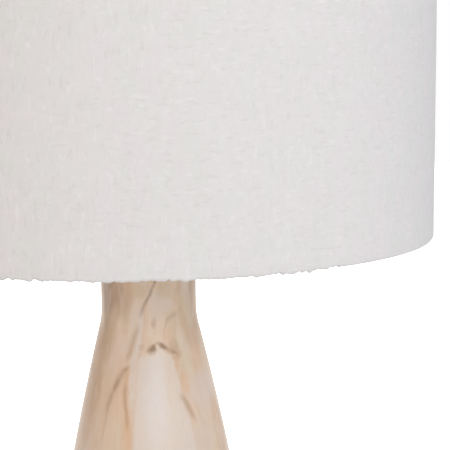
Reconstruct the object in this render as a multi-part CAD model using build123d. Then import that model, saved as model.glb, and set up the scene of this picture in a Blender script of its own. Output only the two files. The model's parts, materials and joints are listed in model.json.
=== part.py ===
from build123d import *
import math
import os

# A table lamp: a turned wood column on a weighted foot, a screw socket with a turn switch, a wire harp
# and a linen drum shade that a finial holds on the harp.
# Millimetres, +Z up. The origin is the centre of the foot, on the table. The front faces -Y.

# ------------------------------------------------------------------ column and foot
COLUMN_HEIGHT = 473.0
NECK_RADIUS = 38.7
NECK_LENGTH = 49.5  # the straight neck, down to where the shoulder starts
SHOULDER_RADIUS = 64.0  # hollow curve that turns the neck into the flare
SHOULDER_ANGLE = 14.0  # degrees off vertical where the flare starts
FOOT_RADIUS = 104.0
FOOT_EDGE_RADIUS = 5.0
NECK_EDGE_RADIUS = 2.5
COLUMN_BORE_CLEARANCE = 0.7  # round the pipe
FOOT_WALL = 32.0  # wood left round the pocket, at the foot
POCKET_DEPTH = 36.0
WEIGHT_THICKNESS = 18.0
WEIGHT_CLEARANCE = 1.0  # round the weight in its pocket
FELT_THICKNESS = 2.0
FELT_INSET = 2.0  # in from where the foot's edge starts to round

# ------------------------------------------------------------------ gland for the lead, at the foot's back
GLAND_HEIGHT = 12.0  # axis above the underside of the wood
GLAND_BORE_RADIUS = 3.3
GLAND_WALL = 1.2
GLAND_LENGTH = 16.0  # behind the flange
GLAND_FLANGE_WIDTH = 1.7  # beyond the gland's body
GLAND_FLANGE_THICKNESS = 1.6
GLAND_SEAT_DEPTH = 2.0  # spot face cut into the curved foot
GLAND_CLEARANCE = 0.05

# ------------------------------------------------------------------ pipe and what it clamps
PIPE_RADIUS = 4.9
PIPE_BORE_RADIUS = 3.4
PIPE_CLEARANCE = 0.2  # plain holes round the pipe
THREAD_CLEARANCE = 0.05  # threaded holes round what screws into them
WASHER_RADIUS = 14.0
WASHER_THICKNESS = 1.6
LOCK_WASHER_WIDTH = 3.5
LOCK_WASHER_THICKNESS = 1.4
LOCK_WASHER_GAP = 1.6
NUT_WIDTH = 15.9  # across flats
NUT_THICKNESS = 4.8
PIPE_BELOW_NUT = 3.0
VASE_CAP_RADIUS = 24.0
VASE_CAP_HEIGHT = 8.0
VASE_CAP_WALL = 1.0
VASE_CAP_CROWN = 11.0  # radius of its flat top
NECK_TUBE_WALL = 1.7
NECK_TUBE_LENGTH = 25.4

# ------------------------------------------------------------------ harp
HARP_HEIGHT = 241.3  # from the saddle's floor to the seat of the shade
HARP_FOOT_SPACING = 54.0
HARP_WIDTH = 116.0
HARP_WIRE_RADIUS = 1.8
HARP_STRAIGHT = 62.0  # straight legs, up to this height over the saddle
HARP_BEND_RISE = 46.0  # height in which the legs spread to full width
HARP_BEND_RADIUS = 38.0
HARP_CROWN_RADIUS = 44.0
SADDLE_THICKNESS = 1.6
SADDLE_WIDTH = 12.7
SADDLE_BEND_RADIUS = 7.0
POST_HEIGHT = 28.0  # top of the posts over the saddle's underside
POST_RADIUS = 2.4
TONGUE_LENGTH = 12.0  # half-round end of the loop that lies against the post
COLLAR_HEIGHT = 2.5  # full-round collar of the loop that stands on the post
POST_LEDGE_WIDTH = 0.9  # beyond the post
POST_LEDGE_HEIGHT = 2.5
SLEEVE_LENGTH = 18.0
SLEEVE_WALL = 0.8
SLEEVE_CLEARANCE = 0.05
STOP_GAP = 0.1  # between flat faces that stop a movement
SADDLE_NUT_THICKNESS = 3.0
STUD_SEAT_RADIUS = 7.5
STUD_SEAT_HEIGHT = 6.0
STUD_RADIUS = 3.1
STUD_LENGTH = 13.0

# ------------------------------------------------------------------ socket and switch
SOCKET_HEIGHT = 60.0
SOCKET_WALL = 0.7
SOCKET_HUB_WALL = 2.65
SOCKET_HUB_HEIGHT = 8.0
SOCKET_CAP_HEIGHT = 21.0
SOCKET_CAP_ROUND = 8.0
SOCKET_LAP = 7.0  # how far the upper shell goes into the cap
SOCKET_LIP = 0.7
LAYER_CLEARANCE = 0.15  # between the shell, the sleeve and the core
SLEEVE_CARD = 0.8
CORE_HEIGHT = 24.0
CORE_FLAT_DEPTH = 2.35  # cut off each side of the core for a terminal screw
SCREW_SHELL_BORE = 13.35
SCREW_SHELL_WALL = 0.35
SCREW_SHELL_CLEARANCE = 0.8  # round the screw shell in the insulating sleeve
CONTACT_RADIUS = 3.2
CONTACT_HEIGHT = 2.6
SET_SCREW_RADIUS = 1.6
TERMINAL_SHANK_RADIUS = 1.6
TERMINAL_SHANK_LENGTH = 5.0
TERMINAL_HEAD_RADIUS = 3.2
TERMINAL_HEAD_HEIGHT = 1.6
SWITCH_CAP_GAP = 1.65  # between the switch shaft and the top of the socket's cap
SWITCH_SHAFT_RADIUS = 2.0
SWITCH_SHAFT_CLEARANCE = 0.06
SWITCH_SLOT_CLEARANCE = 1.0
SWITCH_SHAFT_DEPTH = 8.0  # into the core
SWITCH_REACH = 20.0  # tip of the knob beyond the socket cap
KNOB_RADIUS = 5.5
KNOB_LENGTH = 12.0
KNOB_FLUTES = 12
KNOB_FLUTE_RADIUS = 0.7

# ------------------------------------------------------------------ bulb
BULB_LENGTH = 110.0
BULB_RADIUS = 30.0
BULB_NECK_CLEARANCE = 0.35  # round the glass neck in the bulb's cap
BULB_NECK_HEIGHT = 30.0  # where the neck starts to widen, above the tip of the contact
BULB_GLASS_WALL = 0.8
BULB_CAP_CLEARANCE = 0.35  # round the bulb's cap in the screw shell
BULB_CAP_WALL = 0.35
BULB_CAP_HEIGHT = 26.0
BULB_INSULATOR_HEIGHT = 4.0
BULB_TIP_RADIUS = 4.6
BULB_TIP_HEIGHT = 1.4
BULB_GAP = 0.3  # between the bulb's tip and the socket's contact
BULB_OVERLAP = 8.0  # how far the glass neck goes down into the cap
STEM_RADIUS = 3.0
STEM_HEIGHT = 30.0
FILAMENT_RADIUS = 0.4
FILAMENT_WIDTH = 22.0
FILAMENT_RISE = 12.0

# ------------------------------------------------------------------ shade
SHADE_RADIUS = 228.6
SHADE_HEIGHT = 279.4
SPIDER_DROP = 12.7  # from the shade's top edge down to the hub's seat
FABRIC_THICKNESS = 0.8
LINER_THICKNESS = 0.5
LINER_JOINT = 0.2  # gap where the two sheets of film butt
RING_WIRE_RADIUS = 1.6
HEM_EASE = 0.3  # slack of the folded linen round the ring
HEM_TURN = 9.0  # height of the turned-in hem
ARM_COUNT = 3
ARM_WIRE_RADIUS = 1.6
ARM_FLAT_END = 44.0  # the arms start to rise this far in from the ring
ARM_RISE_END = 20.0  # and are level with it this far in
ARM_BEND_RADIUS = 14.0
ARM_ROOT = 9.6  # radius where the arms start, on the hub
ARM_NOTCH_CLEARANCE = 0.5
HUB_RADIUS = 13.0
HUB_HOLE_RADIUS = 5.5
HUB_THICKNESS = 1.6

# ------------------------------------------------------------------ finial
FINIAL_FLANGE_RADIUS = 7.6
FINIAL_FLANGE_HEIGHT = 2.2
FINIAL_STEM_WALL = 2.05
FINIAL_END_WALL = 2.9  # over the blind end of the thread
FINIAL_STEM_CLEARANCE = 0.05
FINIAL_BALL_RADIUS = 13.5
FINIAL_NECK_RADIUS = 8.4
FINIAL_NECK_HEIGHT = 5.0

# ------------------------------------------------------------------ heights that follow from the stack
FOOT_Z = FELT_THICKNESS
COLUMN_TOP = FOOT_Z + COLUMN_HEIGHT
WEIGHT_Z = FOOT_Z + POCKET_DEPTH - WEIGHT_THICKNESS
WASHER_Z = WEIGHT_Z - WASHER_THICKNESS
LOCK_WASHER_Z = WASHER_Z - LOCK_WASHER_THICKNESS
NUT_Z = LOCK_WASHER_Z - NUT_THICKNESS
NECK_TUBE_Z = COLUMN_TOP + VASE_CAP_HEIGHT
SADDLE_Z = NECK_TUBE_Z + NECK_TUBE_LENGTH
SADDLE_NUT_Z = SADDLE_Z + SADDLE_THICKNESS
SOCKET_Z = SADDLE_NUT_Z + SADDLE_NUT_THICKNESS
CORE_Z = SOCKET_Z + SOCKET_HUB_HEIGHT + LAYER_CLEARANCE
CORE_TOP = CORE_Z + CORE_HEIGHT
SWITCH_Z = SOCKET_Z + SOCKET_CAP_HEIGHT + SWITCH_CAP_GAP + SWITCH_SHAFT_RADIUS
SHELL_Z = SOCKET_Z + SOCKET_CAP_HEIGHT - SOCKET_LAP
SOCKET_TOP = SOCKET_Z + SOCKET_HEIGHT
BULB_Z = CORE_TOP + SCREW_SHELL_WALL + CONTACT_HEIGHT + BULB_GAP
SEAT_Z = SADDLE_NUT_Z + HARP_HEIGHT
SHADE_TOP = SEAT_Z + STOP_GAP + SPIDER_DROP
SHADE_BOTTOM = SHADE_TOP - SHADE_HEIGHT
HUB_Z = SEAT_Z + STOP_GAP
FINIAL_Z = HUB_Z + HUB_THICKNESS + STOP_GAP
THREAD_END = SEAT_Z + STUD_LENGTH + STOP_GAP
FINIAL_STEM_TOP = THREAD_END + FINIAL_END_WALL
POST_TOP = SADDLE_Z + POST_HEIGHT
GLAND_Z = FOOT_Z + GLAND_HEIGHT

# ------------------------------------------------------------------ radii that follow from the layers
COLUMN_BORE_RADIUS = PIPE_RADIUS + COLUMN_BORE_CLEARANCE
POCKET_RADIUS = FOOT_RADIUS - FOOT_WALL
GLAND_BODY_RADIUS = GLAND_BORE_RADIUS + GLAND_WALL
GLAND_FLANGE_RADIUS = GLAND_BODY_RADIUS + GLAND_FLANGE_WIDTH
PIPE_HOLE_RADIUS = PIPE_RADIUS + PIPE_CLEARANCE
LOCK_WASHER_RADIUS = PIPE_HOLE_RADIUS + LOCK_WASHER_WIDTH
NECK_TUBE_RADIUS = PIPE_HOLE_RADIUS + NECK_TUBE_WALL
POST_LEDGE_RADIUS = POST_RADIUS + POST_LEDGE_WIDTH
SOCKET_HUB_RADIUS = PIPE_RADIUS + THREAD_CLEARANCE + SOCKET_HUB_WALL
SCREW_SHELL_OUTER = SCREW_SHELL_BORE + SCREW_SHELL_WALL
CARD_INNER = SCREW_SHELL_OUTER + SCREW_SHELL_CLEARANCE
CARD_OUTER = CARD_INNER + SLEEVE_CARD
CORE_RADIUS = CARD_INNER - LAYER_CLEARANCE
CORE_FLAT = CORE_RADIUS - CORE_FLAT_DEPTH  # distance of the core's two flats from its axis
SHELL_INNER = CARD_OUTER + LAYER_CLEARANCE
SHELL_OUTER = SHELL_INNER + SOCKET_WALL
SOCKET_RADIUS = SHELL_OUTER + LAYER_CLEARANCE + SOCKET_WALL  # outside of the lower cap
BULB_CAP_RADIUS = SCREW_SHELL_BORE - BULB_CAP_CLEARANCE
BULB_NECK_RADIUS = BULB_CAP_RADIUS - BULB_CAP_WALL - BULB_NECK_CLEARANCE
HEM_WIDTH = LINER_THICKNESS + 2 * RING_WIRE_RADIUS + HEM_EASE  # room inside the folded linen
RING_RADIUS = SHADE_RADIUS - FABRIC_THICKNESS - LINER_THICKNESS - RING_WIRE_RADIUS - HEM_EASE / 2
RING_INSET = FABRIC_THICKNESS + HEM_EASE + RING_WIRE_RADIUS  # ring wire's centre in from the shade's edge
POST_X = HARP_FOOT_SPACING / 2
BULB_NECK_LOW = BULB_Z + BULB_CAP_HEIGHT - BULB_OVERLAP
KNOB_TIP = SOCKET_RADIUS + SWITCH_REACH
SHAFT_TIP = KNOB_TIP - KNOB_LENGTH / 3
FINIAL_STEM_RADIUS = STUD_RADIUS + THREAD_CLEARANCE + FINIAL_STEM_WALL

STAND = (Align.CENTER, Align.CENTER, Align.MIN)
HANG = (Align.CENTER, Align.CENTER, Align.MAX)
OUTWARD = (Align.MIN, Align.CENTER, Align.MIN)


# ------------------------------------------------------------------ shared forms
def rod(radius, low, high):
    """Upright cylinder on the lamp's axis between two heights."""
    return Pos(0, 0, low) * Cylinder(radius, high - low, align=STAND)


def tube(outer, inner, low, high):
    return rod(outer, low, high) - rod(inner, low, high)


def lying_rod(radius, start, end, height):
    """Cylinder along +Y between two distances from the axis."""
    return Pos(0, start, height) * Rot(-90, 0, 0) * Cylinder(radius, end - start, align=STAND)


def turned(*outline):
    """Solid turned about the lamp's axis from the edges of its (radius, height) outline."""
    return revolve(Plane.XZ * make_face(Curve() + list(outline)), Axis.Z)


def turned_strip(path, thickness):
    """Thin wall turned about the axis, half its thickness on each side of a (radius, height) path."""
    strip = offset(path, amount=thickness / 2, side=Side.BOTH)
    return revolve(Plane.XZ * make_face(strip.edges()), Axis.Z)


def wire_along(path, radius):
    """Round wire swept along a path of lines and arcs."""
    section = Plane(origin=path @ 0, z_dir=path % 0) * Circle(radius)
    return sweep(section, path=path)


def upright_path(points, radii):
    """Rounded path in the XZ plane through (x, z) points."""
    return FilletPolyline(*[(x, 0, z) for x, z in points], radius=radii)


def switch_slot(radius, low):
    """Cutter for the slot that lets the switch shaft through a wall, open at its bottom."""
    height = SWITCH_Z - low + radius
    cut = Box(SOCKET_RADIUS, 2 * radius, height, align=OUTWARD).rotate(Axis.Z, -90)
    hole = lying_rod(radius, -SOCKET_RADIUS, 0, SWITCH_Z)
    return Pos(0, 0, low - radius) * cut + hole


# ------------------------------------------------------------------ column
def shoulder_end():
    """Point (radius, height) where the hollow shoulder meets the flare."""
    turn = math.radians(SHOULDER_ANGLE)
    radius = NECK_RADIUS + SHOULDER_RADIUS * (1 - math.cos(turn))
    height = COLUMN_TOP - NECK_LENGTH - SHOULDER_RADIUS * math.sin(turn)
    return Vector(radius, height)


def column_radius(height):
    """Outer radius of the flare: the arc that leaves the shoulder smoothly and ends at the foot."""
    turn = math.radians(SHOULDER_ANGLE)
    inward = Vector(-math.cos(turn), -math.sin(turn))
    start = shoulder_end()
    chord = Vector(FOOT_RADIUS, FOOT_Z) - start
    flare = chord.dot(chord) / (2 * chord.dot(inward))
    centre = start + inward * flare
    return centre.X + math.copysign(math.sqrt(flare**2 - (height - centre.Y) ** 2), flare)


def wood_column():
    neck_end = COLUMN_TOP - NECK_LENGTH
    flare_start = shoulder_end()
    middle = (flare_start.Y + FOOT_Z) / 2
    shoulder = JernArc((NECK_RADIUS, neck_end), (0, -1), SHOULDER_RADIUS, SHOULDER_ANGLE)
    flare = ThreePointArc(shoulder @ 1, (column_radius(middle), middle), (FOOT_RADIUS, FOOT_Z))
    outline = Curve() + [
        Line((FOOT_RADIUS, FOOT_Z), (0, FOOT_Z)),
        Line((0, FOOT_Z), (0, COLUMN_TOP)),
        Line((0, COLUMN_TOP), (NECK_RADIUS, COLUMN_TOP)),
        Line((NECK_RADIUS, COLUMN_TOP), (NECK_RADIUS, neck_end)),
        shoulder,
        flare,
    ]
    section = make_face(outline)
    foot_corner = section.vertices().sort_by_distance((FOOT_RADIUS, FOOT_Z, 0))[0]
    section = fillet(foot_corner, FOOT_EDGE_RADIUS)
    neck_corner = section.vertices().sort_by_distance((NECK_RADIUS, COLUMN_TOP, 0))[0]
    section = fillet(neck_corner, NECK_EDGE_RADIUS)
    column = revolve(Plane.XZ * section, Axis.Z)
    column -= rod(COLUMN_BORE_RADIUS, FOOT_Z, COLUMN_TOP)
    column -= rod(POCKET_RADIUS, FOOT_Z, FOOT_Z + POCKET_DEPTH)
    seat = column_radius(GLAND_Z) - GLAND_SEAT_DEPTH
    channel_radius = GLAND_BODY_RADIUS + GLAND_CLEARANCE
    column -= lying_rod(channel_radius, POCKET_RADIUS / 2, seat + GLAND_SEAT_DEPTH, GLAND_Z)
    column -= lying_rod(GLAND_FLANGE_RADIUS + GLAND_CLEARANCE, seat, 2 * FOOT_RADIUS, GLAND_Z)
    return column


def cord_gland():
    seat = column_radius(GLAND_Z) - GLAND_SEAT_DEPTH
    body = lying_rod(GLAND_BODY_RADIUS, seat - GLAND_LENGTH, seat, GLAND_Z)
    flange = lying_rod(GLAND_FLANGE_RADIUS, seat, seat + GLAND_FLANGE_THICKNESS, GLAND_Z)
    rim = flange.edges().filter_by(GeomType.CIRCLE).sort_by(Axis.Y)[-1]
    flange = fillet(rim, GLAND_FLANGE_THICKNESS / 2)
    bore = lying_rod(GLAND_BORE_RADIUS, seat - GLAND_LENGTH, seat + GLAND_FLANGE_THICKNESS, GLAND_Z)
    return body + flange - bore


def foot_weight():
    outer = POCKET_RADIUS - WEIGHT_CLEARANCE
    disc = tube(outer, PIPE_HOLE_RADIUS, WEIGHT_Z, WEIGHT_Z + WEIGHT_THICKNESS)
    rims = disc.edges().filter_by(GeomType.CIRCLE).sort_by(SortBy.RADIUS)[-2:]
    return chamfer(rims, WEIGHT_CLEARANCE)


def felt_pad():
    return rod(FOOT_RADIUS - FOOT_EDGE_RADIUS - FELT_INSET, 0, FOOT_Z)


# ------------------------------------------------------------------ pipe stack
def threaded_pipe():
    return tube(PIPE_RADIUS, PIPE_BORE_RADIUS, NUT_Z - PIPE_BELOW_NUT, SOCKET_Z + SOCKET_HUB_HEIGHT)


def bottom_washer():
    return tube(WASHER_RADIUS, PIPE_HOLE_RADIUS, WASHER_Z, WEIGHT_Z)


def lock_washer():
    ring = tube(LOCK_WASHER_RADIUS, PIPE_HOLE_RADIUS, LOCK_WASHER_Z, WASHER_Z)
    split = Box(LOCK_WASHER_RADIUS, LOCK_WASHER_GAP, LOCK_WASHER_THICKNESS, align=OUTWARD)
    return ring - Pos(0, 0, LOCK_WASHER_Z) * split


def hex_nut_at(low, thickness):
    """Hexagon nut with its corners turned off at both faces."""
    blank = extrude(RegularPolygon(NUT_WIDTH / 2, 6, major_radius=False), thickness)
    corner = NUT_WIDTH / math.sqrt(3)
    disc = Cylinder(corner, thickness, align=STAND)
    nut = blank & chamfer(disc.edges().filter_by(GeomType.CIRCLE), thickness / 8)
    return Pos(0, 0, low) * nut - rod(PIPE_RADIUS + THREAD_CLEARANCE, low, low + thickness)


def vase_cap():
    """Spun cap: a rim on the wood, a round shoulder and a flat crown that carries the neck tube."""
    outer = VASE_CAP_RADIUS - VASE_CAP_WALL / 2
    crown = COLUMN_TOP + VASE_CAP_HEIGHT - VASE_CAP_WALL / 2
    inner = PIPE_HOLE_RADIUS + VASE_CAP_WALL / 2
    foot = COLUMN_TOP + VASE_CAP_WALL / 2
    path = FilletPolyline((outer, foot), (VASE_CAP_CROWN, crown), (inner, crown), radius=VASE_CAP_HEIGHT)
    return turned_strip(path, VASE_CAP_WALL)


def neck_tube():
    return tube(NECK_TUBE_RADIUS, PIPE_HOLE_RADIUS, NECK_TUBE_Z, SADDLE_Z)


# ------------------------------------------------------------------ harp
def half_round(radius, low, high, side):
    """Half of an upright rod at the right-hand foot of the harp: side +1 keeps the outer half."""
    whole = Cylinder(radius, high - low, align=STAND)
    keep = Box(2 * radius, 2 * radius, high - low, align=OUTWARD)
    return Pos(POST_X, 0, low) * (whole & (keep if side > 0 else keep.rotate(Axis.Z, 180)))


def harp_saddle():
    """Bent strip whose upturned ends carry half-round posts with a ledge under each sleeve."""
    ledge_z = POST_TOP - TONGUE_LENGTH - STOP_GAP
    floor = SADDLE_Z + SADDLE_THICKNESS / 2
    strip_x = POST_X + SADDLE_THICKNESS / 2
    path = upright_path(
        [(-strip_x, ledge_z), (-strip_x, floor), (strip_x, floor), (strip_x, ledge_z)],
        [SADDLE_BEND_RADIUS, SADDLE_BEND_RADIUS],
    )
    start = Plane(origin=path @ 0, x_dir=(0, 1, 0), z_dir=path % 0)
    strip = sweep(start * Rectangle(SADDLE_WIDTH, SADDLE_THICKNESS), path=path)
    full_width = Box(4 * POST_X, SADDLE_WIDTH, POST_HEIGHT, align=STAND)
    post_width = Box(4 * POST_X, 2 * POST_RADIUS, POST_HEIGHT, align=STAND)
    strip -= Pos(0, 0, floor + SADDLE_BEND_RADIUS) * (full_width - post_width)
    post = half_round(POST_RADIUS, ledge_z - POST_LEDGE_HEIGHT, POST_TOP, +1)
    post += half_round(POST_LEDGE_RADIUS, ledge_z - POST_LEDGE_HEIGHT, ledge_z, +1)
    saddle = strip + post + mirror(post, about=Plane.YZ)
    return saddle - rod(PIPE_HOLE_RADIUS, SADDLE_Z, SADDLE_NUT_Z)


def saddle_nut():
    return hex_nut_at(SADDLE_NUT_Z, SADDLE_NUT_THICKNESS)


def harp_foot():
    """Right-hand end of the loop: a half-round tongue beside the post and a collar on top of it."""
    half = half_round(POST_RADIUS, POST_TOP - TONGUE_LENGTH, POST_TOP + STOP_GAP, -1)
    tongue = half & Pos(-STOP_GAP, 0, 0) * half
    collar = Pos(POST_X, 0, 0) * rod(POST_RADIUS, POST_TOP + STOP_GAP, POST_TOP + STOP_GAP + COLLAR_HEIGHT)
    return tongue + collar


def harp_loop():
    start = POST_TOP + STOP_GAP + COLLAR_HEIGHT / 2
    straight = SADDLE_NUT_Z + HARP_STRAIGHT
    crown = SEAT_Z - STUD_SEAT_HEIGHT / 2
    half = HARP_WIDTH / 2 - HARP_WIRE_RADIUS
    right = [(POST_X, start), (POST_X, straight), (half, straight + HARP_BEND_RISE), (half, crown)]
    left = [(-x, z) for x, z in reversed(right)]
    bends = [HARP_BEND_RADIUS, HARP_BEND_RADIUS, HARP_CROWN_RADIUS]
    loop = wire_along(upright_path(right + left, bends + bends[::-1]), HARP_WIRE_RADIUS)
    return loop + harp_foot() + mirror(harp_foot(), about=Plane.YZ)


def harp_stud():
    """Seat for the shade's hub, crimped round the loop's crown, with the finial's stud on it."""
    seat = rod(STUD_SEAT_RADIUS, SEAT_Z - STUD_SEAT_HEIGHT, SEAT_Z)
    seat = chamfer(seat.edges().filter_by(GeomType.CIRCLE).sort_by(Axis.Z)[0], STUD_SEAT_HEIGHT / 4)
    stud = rod(STUD_RADIUS, SEAT_Z, SEAT_Z + STUD_LENGTH)
    stud = chamfer(stud.edges().filter_by(GeomType.CIRCLE).sort_by(Axis.Z)[-1], STUD_RADIUS / 6)
    crimp = Rot(0, 90, 0) * Cylinder(HARP_WIRE_RADIUS + THREAD_CLEARANCE, 4 * STUD_SEAT_RADIUS)
    return seat + stud - Pos(0, 0, SEAT_Z - STUD_SEAT_HEIGHT / 2) * crimp


def sleeve(side):
    """Sleeve that slides down over a post and the tongue beside it: side -1 is the left one."""
    bore = POST_RADIUS + SLEEVE_CLEARANCE
    low = POST_TOP - TONGUE_LENGTH
    return Pos(side * POST_X, 0, 0) * tube(bore + SLEEVE_WALL, bore, low, low + SLEEVE_LENGTH)


# ------------------------------------------------------------------ socket
def socket_cap():
    hub = tube(SOCKET_HUB_RADIUS, PIPE_RADIUS + THREAD_CLEARANCE, SOCKET_Z, SOCKET_Z + SOCKET_HUB_HEIGHT)
    wall = SOCKET_RADIUS - SOCKET_WALL / 2
    floor = SOCKET_Z + SOCKET_HUB_HEIGHT - SOCKET_WALL / 2
    top = SOCKET_Z + SOCKET_CAP_HEIGHT - SOCKET_WALL / 2
    inner = SOCKET_HUB_RADIUS - SOCKET_WALL
    path = FilletPolyline((inner, floor), (wall, floor), (wall, top), radius=SOCKET_CAP_ROUND)
    cap = hub + turned_strip(path, SOCKET_WALL)
    hole = SET_SCREW_RADIUS + THREAD_CLEARANCE
    return cap - lying_rod(hole, 0, SOCKET_RADIUS, SOCKET_Z + SOCKET_HUB_HEIGHT / 2)


def socket_set_screw():
    """Headless screw through the cap's hub, with a screwdriver slot in its outer end."""
    height = SOCKET_Z + SOCKET_HUB_HEIGHT / 2
    outer = SOCKET_HUB_RADIUS + SET_SCREW_RADIUS
    screw = lying_rod(SET_SCREW_RADIUS, PIPE_RADIUS, outer, height)
    slot = Box(2 * SET_SCREW_RADIUS, SET_SCREW_RADIUS, SET_SCREW_RADIUS / 2)
    return screw - Pos(0, outer, height) * slot


def socket_shell():
    wall = SHELL_INNER + SOCKET_WALL / 2
    top = SOCKET_TOP - SOCKET_WALL / 2
    path = FilletPolyline(
        (wall, SHELL_Z + SOCKET_WALL / 2),
        (wall, top - 4 * SOCKET_LIP),
        (wall + SOCKET_LIP, top - 2 * SOCKET_LIP),
        (wall + SOCKET_LIP, top),
        radius=SOCKET_LIP,
    )
    slot = switch_slot(SWITCH_SHAFT_RADIUS + SWITCH_SLOT_CLEARANCE, SHELL_Z)
    return turned_strip(path, SOCKET_WALL) - slot


def insulating_sleeve():
    card = tube(CARD_OUTER, CARD_INNER, SHELL_Z, SOCKET_TOP - SOCKET_LIP)
    return card - switch_slot(SWITCH_SHAFT_RADIUS + SWITCH_SLOT_CLEARANCE, SHELL_Z)


def socket_core():
    """Moulded switch housing with a flat on each side for a terminal screw."""
    core = rod(CORE_RADIUS, SHELL_Z, CORE_TOP)
    core += rod(SOCKET_HUB_RADIUS, CORE_Z, SHELL_Z)
    flats = Box(2 * CORE_FLAT, 2 * SOCKET_RADIUS, 2 * SOCKET_HEIGHT)
    core &= Pos(0, 0, CORE_Z) * flats
    bearing = SWITCH_SHAFT_RADIUS + SWITCH_SHAFT_CLEARANCE
    core -= lying_rod(bearing, -SOCKET_RADIUS, SWITCH_SHAFT_DEPTH - CORE_RADIUS, SWITCH_Z)
    for side in (-1, 1):
        core -= terminal_screw(side, THREAD_CLEARANCE)
    return core


def terminal_screw(side, grow=0.0):
    """Terminal screw on one flat of the core; grow makes the cutter for its hole."""
    shank = Cylinder(TERMINAL_SHANK_RADIUS + grow, TERMINAL_SHANK_LENGTH + grow, align=HANG)
    head = Cylinder(TERMINAL_HEAD_RADIUS, TERMINAL_HEAD_HEIGHT, align=STAND)
    slot = Box(2 * TERMINAL_HEAD_RADIUS, TERMINAL_HEAD_HEIGHT / 2, TERMINAL_HEAD_HEIGHT)
    slot = Pos(0, 0, TERMINAL_HEAD_HEIGHT) * slot
    height = SHELL_Z + TERMINAL_HEAD_RADIUS + (CORE_TOP - SHELL_Z) / 2
    return Pos(side * CORE_FLAT, 0, height) * Rot(0, side * 90, 0) * (shank + head - slot)


def terminal_screws():
    return Compound(children=[terminal_screw(side).solid() for side in (-1, 1)])


def screw_shell():
    """Cup with the bulb's thread in its wall, on top of the core, open round the centre contact."""
    wall = tube(SCREW_SHELL_OUTER, SCREW_SHELL_BORE, CORE_TOP, SOCKET_TOP - 2 * SOCKET_LIP)
    floor = tube(SCREW_SHELL_OUTER, 2 * CONTACT_RADIUS, CORE_TOP, CORE_TOP + SCREW_SHELL_WALL)
    return wall + floor


def centre_contact():
    """Sprung tongue under the bulb's tip, as a rivet head with a narrower crown."""
    base = rod(CONTACT_RADIUS, CORE_TOP, CORE_TOP + CONTACT_HEIGHT / 2)
    crown = rod(CONTACT_RADIUS * 0.7, CORE_TOP, CORE_TOP + SCREW_SHELL_WALL + CONTACT_HEIGHT)
    crown = fillet(crown.edges().filter_by(GeomType.CIRCLE).sort_by(Axis.Z)[-1], CONTACT_RADIUS / 4)
    return base + crown


def switch_shaft():
    inner = CORE_RADIUS - SWITCH_SHAFT_DEPTH + SWITCH_SHAFT_CLEARANCE
    return lying_rod(SWITCH_SHAFT_RADIUS, -SHAFT_TIP, -inner, SWITCH_Z)


def switch_knob():
    """Fluted knob with a blind hole for the shaft."""
    root = KNOB_TIP - KNOB_LENGTH
    knob = lying_rod(KNOB_RADIUS, -KNOB_TIP, -root, SWITCH_Z)
    rims = knob.edges().filter_by(GeomType.CIRCLE).sort_by(Axis.Y)
    knob = fillet(rims[0], KNOB_RADIUS / 5)
    flute = Pos(KNOB_RADIUS + KNOB_FLUTE_RADIUS / 3, 0, 0) * Cylinder(KNOB_FLUTE_RADIUS, 4 * KNOB_LENGTH)
    for turn in range(KNOB_FLUTES):
        knob -= Pos(0, -root, SWITCH_Z) * Rot(90, 0, 0) * Rot(0, 0, turn * 360 / KNOB_FLUTES) * flute
    return knob - lying_rod(SWITCH_SHAFT_RADIUS, -SHAFT_TIP, -root, SWITCH_Z)


# ------------------------------------------------------------------ bulb
def bulb_form(inset, low):
    """Pear-shaped solid, drawn in by inset: a neck, a hollow flare and a round end."""
    ball = BULB_RADIUS - inset
    neck = BULB_NECK_RADIUS - inset
    ball_z = BULB_Z + BULB_LENGTH - BULB_RADIUS
    neck_z = BULB_Z + BULB_NECK_HEIGHT
    rise = ball_z - neck_z
    flare = (neck**2 + rise**2 - ball**2) / (2 * (ball - neck))
    share = ball / (ball + flare)
    touch = Vector((neck + flare) * share, ball_z - rise * share)
    turn = math.degrees(math.asin(rise / (ball + flare)))
    hollow = CenterArc((neck + flare, neck_z), flare, 180 - turn, turn)
    end = CenterArc((0, ball_z), ball, -turn, 90 + turn)
    return turned(
        Line((0, low), (neck, low)),
        Line((neck, low), (neck, neck_z)),
        hollow,
        end,
        Line((0, ball_z + ball), (0, low)),
    )


def bulb_glass():
    hollow = bulb_form(BULB_GLASS_WALL, BULB_NECK_LOW + BULB_GLASS_WALL)
    return bulb_form(0, BULB_NECK_LOW) - hollow


def bulb_stem():
    low = BULB_NECK_LOW + BULB_GLASS_WALL
    foot = Pos(0, 0, low) * Cone(2 * STEM_RADIUS, STEM_RADIUS, STEM_HEIGHT / 3, align=STAND)
    return foot + rod(STEM_RADIUS, low, low + STEM_HEIGHT)


def bulb_filament():
    """Two lead wires out of the stem and the filament between them, as one bent wire."""
    low = BULB_NECK_LOW + BULB_GLASS_WALL + STEM_HEIGHT
    high = low + FILAMENT_RISE
    spread = FILAMENT_WIDTH / 2
    lead = STEM_RADIUS / 2
    points = [(-lead, low), (-spread, high), (spread, high), (lead, low)]
    wire = wire_along(upright_path(points, [FILAMENT_RISE / 6] * 2), FILAMENT_RADIUS)
    return wire - rod(STEM_RADIUS, low - STEM_RADIUS, low)


def bulb_cap():
    low = BULB_Z + BULB_TIP_HEIGHT + BULB_INSULATOR_HEIGHT
    return tube(BULB_CAP_RADIUS, BULB_CAP_RADIUS - BULB_CAP_WALL, low, BULB_Z + BULB_CAP_HEIGHT)


def bulb_insulator():
    low = BULB_Z + BULB_TIP_HEIGHT
    cone = Cone(BULB_TIP_RADIUS, BULB_CAP_RADIUS, BULB_INSULATOR_HEIGHT, align=STAND)
    return Pos(0, 0, low) * cone


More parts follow.
